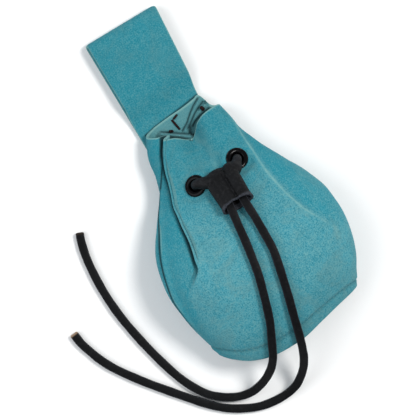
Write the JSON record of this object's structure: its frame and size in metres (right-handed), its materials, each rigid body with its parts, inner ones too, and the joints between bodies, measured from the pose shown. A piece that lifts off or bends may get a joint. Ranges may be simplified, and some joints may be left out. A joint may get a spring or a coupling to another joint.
{
  "type": "medieval belt pouch",
  "caption": "Gathered suede drawstring pouch with a folded belt loop, eyelets in the neck, a leather slider and free thong laces.",
  "frame": {"origin": "on the flat underside of the bag's back, under the middle of the belly, where the pouch rests on the floor", "axes": "+Y from the base to the belt loop, +Z out of the front, away from the floor, +X to the right of the front"},
  "size_m": [0.1502, 0.2065, 0.0455],
  "materials": {
    "suede": "dyed suede, matt and napped",
    "thong": "black smooth leather, satin",
    "enamel": "black gloss lacquer"
  },
  "bodies": {
    "root": {"pouch_wall": "suede", "base": "suede", "belt_loop": "suede", "eyelet_left": "enamel", "eyelet_right": "enamel", "slider": "thong", "drawstring": "thong", "lace_left": "thong", "lace_right": "thong"}
  },
  "joints": []
}
